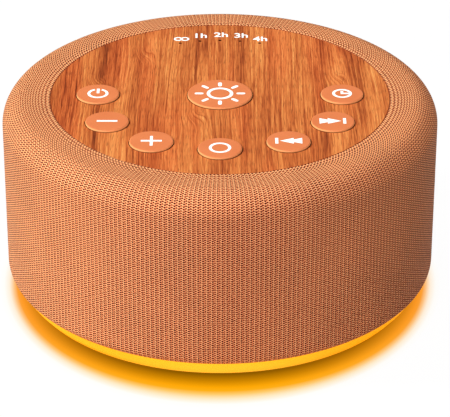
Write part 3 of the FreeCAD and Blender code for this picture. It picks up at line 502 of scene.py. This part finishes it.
def clear_resin(name, colour, paler, glow=0.0):
    """Clear or tinted moulded resin, with faint flow marks."""
    graph = Graph(name)
    flow = graph.noise((2 * MM, 2 * MM, 5 * MM), distortion=0.6)
    tint = graph.ramp(graph.fit(flow, *NOISE_RANGE), (0.0, colour), (1.0, paler))
    return graph.finish(
        Base_Color=tint, Roughness=graph.fit(flow, *NOISE_RANGE, 0.08, 0.18), Transmission_Weight=0.6,
        IOR=1.49, Emission_Color=colour, Emission_Strength=glow, Normal=graph.bump(flow, 0.01 * MM))


def circuit_board():
    """Solder mask with copper tracks that show through as paler green runs."""
    graph = Graph("circuit_board")
    cells = graph.cells((2.6 * MM, 2.6 * MM, 1.0), distance="CHEBYCHEV", feature="DISTANCE_TO_EDGE")
    tracks = graph.fit(cells, 0.05, 0.09, 1.0, 0.0, smooth=True)
    weave = graph.noise(0.5 * MM)
    mask = graph.ramp(graph.fit(weave, *NOISE_RANGE), (0.0, tone(12, 66, 34)), (1.0, tone(20, 84, 44)))
    colour = graph.blend(tracks, mask, tone(44, 122, 68))
    return graph.finish(
        Base_Color=colour, Roughness=graph.fit(weave, *NOISE_RANGE, 0.28, 0.4), Coat_Weight=0.3,
        Normal=graph.bump(tracks, 0.03 * MM))


def paper_cone():
    """Pressed pulp: dark grey felted fibres."""
    graph = Graph("paper_cone")
    fibre = graph.noise((0.3 * MM, 0.9 * MM, 0.3 * MM), detail=5.0, rough=0.65, distortion=1.2)
    colour = graph.ramp(graph.fit(fibre, *NOISE_RANGE), (0.0, tone(30, 29, 28)), (1.0, tone(58, 55, 52)))
    return graph.finish(Base_Color=colour, Roughness=0.92, Specular_IOR_Level=0.2,
                        Normal=graph.bump(fibre, 0.06 * MM))


def spider_cloth():
    """Resin-stiffened woven cloth, plain weave, in an ochre tone."""
    graph = Graph("spider_cloth")
    warp, weft = [graph.math("SINE", graph.times(along, 2 * math.pi / (0.7 * MM)))
                  for along in graph.split(graph.place())[:2]]
    weave = graph.fit(graph.times(warp, weft), -1.0, 1.0)
    colour = graph.ramp(weave, (0.0, tone(148, 104, 42)), (1.0, tone(206, 160, 84)))
    return graph.finish(Base_Color=colour, Roughness=0.85, Normal=graph.bump(weave, 0.08 * MM))


def foam():
    """Open-cell foam."""
    graph = Graph("foam")
    cells = graph.cells((0.35 * MM,) * 3)
    colour = graph.ramp(cells, (0.0, tone(22, 22, 23)), (0.7, tone(62, 62, 64)))
    return graph.finish(Base_Color=colour, Roughness=0.97, Normal=graph.bump(cells, 0.15 * MM))


def copper_winding():
    """Enamelled copper wire wound in fine turns round the coil."""
    graph = Graph("copper_winding")
    turns = graph.waves(graph.split(graph.place())[2], 0.22 * MM)
    colour = graph.ramp(turns, (0.0, tone(96, 42, 20)), (1.0, tone(214, 122, 68)))
    return graph.finish(Base_Color=colour, Metallic=0.8, Roughness=0.35,
                        Normal=graph.bump(turns, 0.06 * MM))


def ribbed_cable():
    """Grey ribbon cable with a rib for each conductor."""
    graph = Graph("ribbed_cable")
    ribs = graph.waves(graph.split(graph.place())[0], 1.0 * MM)
    colour = graph.ramp(ribs, (0.0, tone(118, 120, 124)), (1.0, tone(182, 184, 188)))
    return graph.finish(Base_Color=colour, Roughness=0.5, Normal=graph.bump(ribs, 0.12 * MM))


def white_print():
    """Matt white ink with a faint unevenness from printing and a faint painted glow, though it is no lamp.
    """
    graph = Graph("white_print")
    grain = graph.noise(0.3 * MM, detail=3.0)
    colour = graph.ramp(
        graph.fit(grain, *NOISE_RANGE), (0.0, tone(248, 244, 238)), (1.0, tone(255, 254, 252)))
    return graph.finish(Base_Color=colour, Roughness=graph.fit(grain, *NOISE_RANGE, 0.5, 0.65),
                        Emission_Color=tone(255, 252, 246), Emission_Strength=PRINT_PAINTED_GLOW,
                        Normal=graph.bump(grain, 0.004 * MM))


def slot_finishes():
    """A finish for each material slot of the record."""
    return {
        "knit_fabric": knit_cloth(),
        "wood_grain": wood_panel(),
        "button_plastic": key_plastic(),
        "milky_plastic": milky_ring(),
        "shell_plastic": moulded("shell_plastic", tone(206, 128, 92), tone(190, 114, 80), 0.5,
                                 grain=0.3 * MM, depth=0.012 * MM),
        "black_rubber": moulded("foot_rubber", tone(46, 44, 44), tone(32, 31, 31), 0.82,
                                grain=0.2 * MM, depth=0.02 * MM, shine=0.25),
        "dark_plastic": moulded("dark_plastic", tone(42, 42, 45), tone(30, 30, 33), 0.45),
        "clear_plastic": clear_resin("clear_guide", tone(86, 24, 6), tone(128, 44, 16)),
        "circuit_board": circuit_board(),
        "paper_cone": paper_cone(),
        "cloth_spider": spider_cloth(),
        "foam": foam(),
        "plated_steel": metal("plated_steel", tone(206, 206, 208), tone(160, 160, 164), 0.3),
        "zinc_screw": metal("zinc_screw", tone(190, 192, 198), tone(140, 142, 150), 0.32),
        "magnet_ferrite": moulded("ferrite", tone(62, 62, 66), tone(44, 44, 48), 0.6, shine=0.6),
        "copper_winding": copper_winding(),
        "lamp_resin": clear_resin("lamp_resin", tone(255, 214, 120), tone(250, 250, 246), glow=0.4),
        "cable_grey": ribbed_cable(),
        "wire_red": moulded("wire_red", tone(196, 40, 34), tone(160, 26, 24), 0.4),
        "can_aluminium": metal("can_aluminium", tone(214, 216, 220), tone(172, 174, 180), 0.28),
    }


def dress_nodes(finishes):
    """Gives every CAD node the finish of its material slot."""
    for node in frame["nodes"].values():
        for place in node.material_slots:
            place.material = finishes[place.material.name.split(".")[0]]


def link_mesh(name, mesh, body, finish, smooth=False):
    """Puts a mesh in the scene as a piece that rides on a body."""
    piece = put_in_scene(name, mesh)
    mesh.materials.append(finish)
    if smooth:
        mesh.shade_smooth()
    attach(piece, body)
    return piece


def arc(centre, radius, first, last, steps):
    """Points along an arc, from one angle to another in degrees."""
    angles = [math.radians(first + (last - first) * step / steps) for step in range(steps + 1)]
    return [(centre[0] + radius * math.cos(turn), centre[1] + radius * math.sin(turn)) for turn in angles]


def measure_cloth():
    """The cloth's main sizes, taken from its CAD node."""
    low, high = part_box("fabric_sleeve")
    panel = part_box("top_panel")[1]
    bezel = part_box("inlet_bezel")
    return {
        "wall_rows": (bezel[0].z - WALL_ROW_GAP, bezel[1].z + WALL_ROW_GAP),
        "radius": high.x,
        "foot": low.z,
        "crest": high.z,
        "shoulder_r": high.x - SHOULDER_R,
        "shoulder_z": high.z - SHOULDER_R,
        "lip_r": panel.x + LIP_GAP,
        "hem": panel.z - HEM_DEPTH,
    }


def cloth_skin(inset):
    """Section of the cloth from its lower edge to the panel's rim, moved inwards."""
    shape = cloth_shape
    tuck = (shape["radius"] - TUCK_R, shape["foot"] + TUCK_R * math.sin(math.radians(TUCK_SWEEP)))
    shoulder = (shape["shoulder_r"], shape["shoulder_z"])
    rows = [level for level in shape["wall_rows"] if level > tuck[1] + WALL_ROW_GAP]
    if inset < FOLD_R:
        fold = arc((shape["lip_r"] + FOLD_R, shape["crest"] - FOLD_R), FOLD_R - inset, 90, 180, ROUND_STEPS)
    else:
        fold = [(shape["lip_r"] + inset, shape["crest"] - inset)]
    return [
        *arc(tuck, TUCK_R - inset, -TUCK_SWEEP, 0, ROUND_STEPS),
        *[(shape["radius"] - inset, level) for level in rows],
        *arc(shoulder, SHOULDER_R - inset, 0, 90, SHOULDER_STEPS),
        *fold,
        (shape["lip_r"] + inset, shape["hem"]),
    ]


def closed_mesh(name, made):
    """The mesh of what a bmesh holds, with its normals outwards."""
    bmesh.ops.recalc_face_normals(made, faces=made.faces)
    mesh = bpy.data.meshes.new(name)
    made.to_mesh(mesh)
    made.free()
    return mesh


def revolved_mesh(name, section, sides):
    """A closed skin of revolution round the drum's axis."""
    made = bmesh.new()
    rows = []
    for side in range(sides):
        turn = 2 * math.pi * side / sides
        rows.append([made.verts.new((r * math.cos(turn), r * math.sin(turn), z)) for r, z in section])
    for side, row in enumerate(rows):
        after = rows[(side + 1) % sides]
        for step in range(len(section)):
            onward = (step + 1) % len(section)
            made.faces.new((row[step], after[step], after[onward], row[onward]))
    return closed_mesh(name, made)


def prism_mesh(name, outlines, near, far, upright=False):
    """Closed prisms on plane outlines, between two heights, or with upright between two depths along Y.
    Each outline comes with None or with the outline of its hole, which has as many points."""
    made = bmesh.new()

    def corners(points, level):
        if upright:
            return [made.verts.new((a, level, b)) for a, b in points]
        return [made.verts.new((a, b, level)) for a, b in points]

    for outer, inner in outlines:
        count = len(outer)
        low, high = corners(outer, near), corners(outer, far)
        if inner is None:
            made.faces.new(low)
            made.faces.new(high)
        else:
            low_in, high_in = corners(inner, near), corners(inner, far)
        for step in range(count):
            onward = (step + 1) % count
            made.faces.new((low[step], low[onward], high[onward], high[step]))
            if inner is not None:
                made.faces.new((low_in[step], low_in[onward], high_in[onward], high_in[step]))
                made.faces.new((low[step], low[onward], low_in[onward], low_in[step]))
                made.faces.new((high[step], high[onward], high_in[onward], high_in[step]))
    return closed_mesh(name, made)


def rounded_box(low, high, radius):
    """Outline of a rectangle with round corners."""
    left, right = low[0] + radius, high[0] - radius
    bottom, top = low[1] + radius, high[1] - radius
    centres = ((right, bottom), (right, top), (left, top), (left, bottom))
    return [point for index, centre in enumerate(centres)
            for point in arc(centre, radius, 90 * index - 90, 90 * index, ROUND_STEPS)]


def cut(piece, tool_mesh):
    """Takes a closed mesh out of a piece and leaves the result as the piece's own mesh."""
    tool = put_in_scene("cutter", tool_mesh)
    step = piece.modifiers.new("opening", "BOOLEAN")
    step.operation = "DIFFERENCE"
    step.solver = "EXACT"
    step.object = tool
    bpy.context.view_layer.update()
    evaluated = piece.evaluated_get(bpy.context.evaluated_depsgraph_get())
    mesh = bpy.data.meshes.new_from_object(evaluated)
    piece.modifiers.remove(step)
    mesh.set_sharp_from_angle(angle=SHARP_EDGE)
    piece.data = mesh
    bpy.data.objects.remove(tool)


def make_cloth(finish):
    """Knitted cloth stretched over wall, shoulder and rim, open round the socket's bezel."""
    face = cloth_skin(0.0)
    section = face + list(reversed(cloth_skin(CLOTH_T)))
    mesh = revolved_mesh("cloth_cover", section, CLOTH_SIDES)
    piece = link_mesh("cloth_cover", mesh, "drum", finish, smooth=True)
    low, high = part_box("inlet_bezel")
    window = rounded_box((low.x - BEZEL_GAP, low.z - BEZEL_GAP), (high.x + BEZEL_GAP, high.z + BEZEL_GAP),
                         BEZEL_CORNER_R)
    inside, outside = [cloth_shape["radius"] * share for share in WINDOW_REACH]
    cut(piece, prism_mesh("window", [(window, None)], inside, outside, upright=True))
    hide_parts("fabric_sleeve")


def ring_mark(outer, inner, centre=(0.0, 0.0)):
    last = 360 - 360 / ARC_STEPS
    return tuple(arc(centre, radius, 0, last, ARC_STEPS - 1) for radius in (outer, inner))


def bar_mark(width, depth, centre=(0.0, 0.0)):
    x, y = centre
    return ([(x - width / 2, y - depth / 2), (x + width / 2, y - depth / 2),
             (x + width / 2, y + depth / 2), (x - width / 2, y + depth / 2)], None)


def ray_mark(first, last, width, degrees):
    """A round-ended bar that points away from the middle."""
    radius = width / 2
    points = [*arc((last - radius, 0.0), radius, -90, 90, ROUND_STEPS),
              *arc((first + radius, 0.0), radius, 90, 270, ROUND_STEPS)]
    turn = math.radians(degrees)
    return ([(x * math.cos(turn) - y * math.sin(turn), x * math.sin(turn) + y * math.cos(turn))
             for x, y in points], None)


def open_ring_mark(outer, inner, half_gap):
    """A ring with a gap at the back, where the bar of the power sign stands."""
    first = 90 + math.degrees(math.asin(half_gap / outer))
    outside, inside = [arc((0.0, 0.0), radius, first, 540 - first, ARC_STEPS) for radius in (outer, inner)]
    return (outside + inside[::-1], None)


def track_marks(way):
    """Two triangles that run into each other and a bar, for the next or the previous track."""
    back, back_tip = TRACK_BACK
    front, front_tip = TRACK_FRONT
    notch = TRACK_HALF * (back_tip - front) / (back_tip - back)
    side = [(back, TRACK_HALF), (front, notch), (front, TRACK_HALF)]
    corners = [*side, (front_tip, 0.0), *[(x, -y) for x, y in reversed(side)]]
    return [([(x * way, y) for x, y in corners], None),
            bar_mark(TRACK_BAR_W, 2 * TRACK_HALF, (TRACK_BAR_X * way, 0.0))]


def plus_marks():
    """The minus bar with an arm on each side of it."""
    length, width = VOLUME_BAR
    middle = (width + VOLUME_ARM) / 2
    return [bar_mark(length, width),
            *[bar_mark(LINE_W, VOLUME_ARM, (0.0, side * middle)) for side in (1, -1)]]


def clock_marks():
    """A ring and two hands at a right angle."""
    half = LINE_W / 2
    hands = [(half, -half), (CLOCK_LONG_HAND, -half), (CLOCK_LONG_HAND, half), (half, half),
             (half, CLOCK_SHORT_HAND), (-half, CLOCK_SHORT_HAND), (-half, -half)]
    return [ring_mark(*CLOCK_RING), (hands, None)]


def sun_marks():
    """A ring with rays round it."""
    turn = 360 / SUN_RAY_COUNT
    return [ring_mark(*SUN_RING),
            *[ray_mark(*SUN_RAY, SUN_RAY_W, turn * step) for step in range(SUN_RAY_COUNT)]]


def key_marks():
    """The sign on each key, round the key's own middle."""
    return {
        "power_button": [open_ring_mark(*POWER_RING, POWER_HALF_GAP),
                         bar_mark(LINE_W, POWER_BAR, (0.0, POWER_BAR_Y))],
        "volume_down_button": [bar_mark(*VOLUME_BAR)],
        "volume_up_button": plus_marks(),
        "mode_button": [ring_mark(*MODE_RING)],
        "previous_button": track_marks(-1),
        "next_button": track_marks(1),
        "timer_button": clock_marks(),
        "night_light_button": sun_marks(),
    }


def print_keys(ink):
    bodies = frame["record"]["behaviour"]["bodies"]
    for node, marks in key_marks().items():
        low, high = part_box(node)
        body = next(name for name, members in bodies.items() if node in members)
        # The lug behind a key lengthens its box, so the middle lies half its width from the front
        middle_x = (low.x + high.x) / 2
        middle_y = low.y + (high.x - low.x) / 2
        placed = [tuple(points and [(x + middle_x, y + middle_y) for x, y in points] for points in mark)
                  for mark in marks]
        name = node.replace("button", "sign")
        mesh = prism_mesh(name, placed, high.z - PRINT_SUNK, high.z + PRINT_PROUD)
        link_mesh(name, mesh, body, ink)


def loop_mark(side):
    """One loop of the endless sign, flat where it meets the other loop."""
    centre = (ENDLESS[0] + side * (LOOP_R - LOOP_LINE / 2), ENDLESS[1])
    outer, inner = ring_mark(LOOP_R, LOOP_R - LOOP_LINE, centre)
    nearer = min if side < 0 else max
    return [(nearer(x, ENDLESS[0]), y) for x, y in outer], inner


def print_labels(ink):
    """The timer's marks on the panel: no end, and one to four hours."""
    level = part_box("top_panel")[1].z
    loops = [loop_mark(side) for side in (-1, 1)]
    mesh = prism_mesh("timer_label_0", loops, level - PRINT_SUNK, level + PRINT_PROUD)
    link_mesh("timer_label_0", mesh, "drum", ink)
    for index, (text, x, y) in enumerate(LABELS, 1):
        curve = bpy.data.curves.new("label", "FONT")
        curve.body = text
        curve.align_x = "CENTER"
        curve.align_y = "CENTER"
        curve.size = LABEL_SIZE
        curve.offset = LABEL_BOLDER
        curve.extrude = (PRINT_SUNK + PRINT_PROUD) / 2
        written = put_in_scene("label", curve)
        bpy.context.view_layer.update()
        mesh = bpy.data.meshes.new_from_object(written.evaluated_get(bpy.context.evaluated_depsgraph_get()))
        bpy.data.objects.remove(written)
        across, along = [[vertex.co[axis] for vertex in mesh.vertices] for axis in (0, 1)]
        shift = Vector((x - (max(across) + min(across)) / 2, y - (max(along) + min(along)) / 2,
                        level + (PRINT_PROUD - PRINT_SUNK) / 2))
        for vertex in mesh.vertices:
            vertex.co += shift
        mesh.materials.clear()
        link_mesh("timer_label_" + str(index), mesh, "drum", ink)


def table_finish():
    """Pale table with the ring's amber glow painted round the foot and painted shadow just under the ring;
    white where the camera looks on past it.
    """
    graph = Graph("table")
    x, y = graph.split(graph.place())[:2]
    radius = graph.from_axis(x, y)
    ahead = graph.math("POWER", graph.ahead(y, radius), 2.0)
    middle = graph.fit(ahead, 0.0, 1.0, (GLOW_MIDDLE - GLOW_NARROWER) * MM, GLOW_MIDDLE * MM)
    past = graph.minus(radius, middle)
    past = graph.times(past, graph.fit(ahead, 0.0, 1.0, GLOW_SIDE_SHARPER, 1.0))
    first, last = PAINTED_GLOW_STOPS[0][0], PAINTED_GLOW_STOPS[-1][0]
    share = graph.fit(past, (first - GLOW_MIDDLE) * MM, (last - GLOW_MIDDLE) * MM)
    fades = [graph.ramp(share, *[((at - first) / (last - first), tone(*shade)) for at, shade in stops])
             for stops in (PAINTED_SIDE_GLOW_STOPS, PAINTED_GLOW_STOPS)]
    colour = graph.blend(ahead, fades[0], fades[1])
    seen = graph.node("ShaderNodeLightPath")
    straight = graph.most(seen.outputs["Is Camera Ray"], seen.outputs["Is Glossy Ray"])
    straight = graph.most(straight, seen.outputs["Is Transmission Ray"])
    dimmed = graph.blend(1.0, colour, tone(*TABLE_DIMMED), "MULTIPLY")
    lit = graph.node("ShaderNodeBsdfDiffuse", {"Color": dimmed}).outputs[0]
    glow = graph.node("ShaderNodeEmission", {"Color": colour, "Strength": GLOW_STRENGTH}).outputs[0]
    mixed = graph.node("ShaderNodeMixShader", {0: graph.times(straight, GLOW_SHARE), 1: lit, 2: glow})
    graph.put(graph.output.inputs["Surface"], mixed.outputs[0])
    return graph.material


def make_table():
    half = TABLE_HALF
    corners = [(-half, -half, 0), (half, -half, 0), (half, half, 0), (-half, half, 0)]
    mesh = bpy.data.meshes.new("table")
    mesh.from_pydata(corners, [], [(0, 1, 2, 3)])
    mesh.materials.append(table_finish())
    table = put_in_scene("table", mesh)


def make_lamp(name, place, size, power, colour):
    """A square soft lamp that faces the drum."""
    data = bpy.data.lights.new(name, "AREA")
    data.shape = "SQUARE"
    data.size = size
    data.energy = power
    data.color = colour
    lamp = put_in_scene(name, data)
    lamp.location = place
    aim = Vector(LAMP_AIM) - lamp.location
    lamp.rotation_euler = aim.to_track_quat("-Z", "Y").to_euler()


def make_light():
    """The lamps, and a white world that is weak on the object and full where the camera sees it."""
    for lamp in LAMPS:
        make_lamp(*lamp)
    world = bpy.data.worlds.new("world")
    world.use_nodes = True
    bpy.context.scene.world = world
    tree = world.node_tree
    tree.nodes.clear()
    seen = tree.nodes.new("ShaderNodeLightPath")
    straight = tree.nodes.new("ShaderNodeMath")
    straight.operation = "MAXIMUM"
    tree.links.new(seen.outputs["Is Camera Ray"], straight.inputs[0])
    tree.links.new(seen.outputs["Is Transmission Ray"], straight.inputs[1])
    mixed = tree.nodes.new("ShaderNodeMixShader")
    tree.links.new(straight.outputs[0], mixed.inputs[0])
    for place, strength in ((1, WORLD_LIGHT), (2, 1.0)):
        background = tree.nodes.new("ShaderNodeBackground")
        background.inputs["Color"].default_value = (1.0, 1.0, 1.0, 1.0)
        background.inputs["Strength"].default_value = strength
        tree.links.new(background.outputs[0], mixed.inputs[place])
    output = tree.nodes.new("ShaderNodeOutputWorld")
    tree.links.new(mixed.outputs[0], output.inputs["Surface"])


cloth_shape = measure_cloth()
finishes = slot_finishes()
dress_nodes(finishes)
make_cloth(finishes["knit_fabric"])
ink = white_print()
print_keys(ink)
print_labels(ink)
make_table()
make_light()
bpy.context.scene.view_settings.view_transform = "Standard"
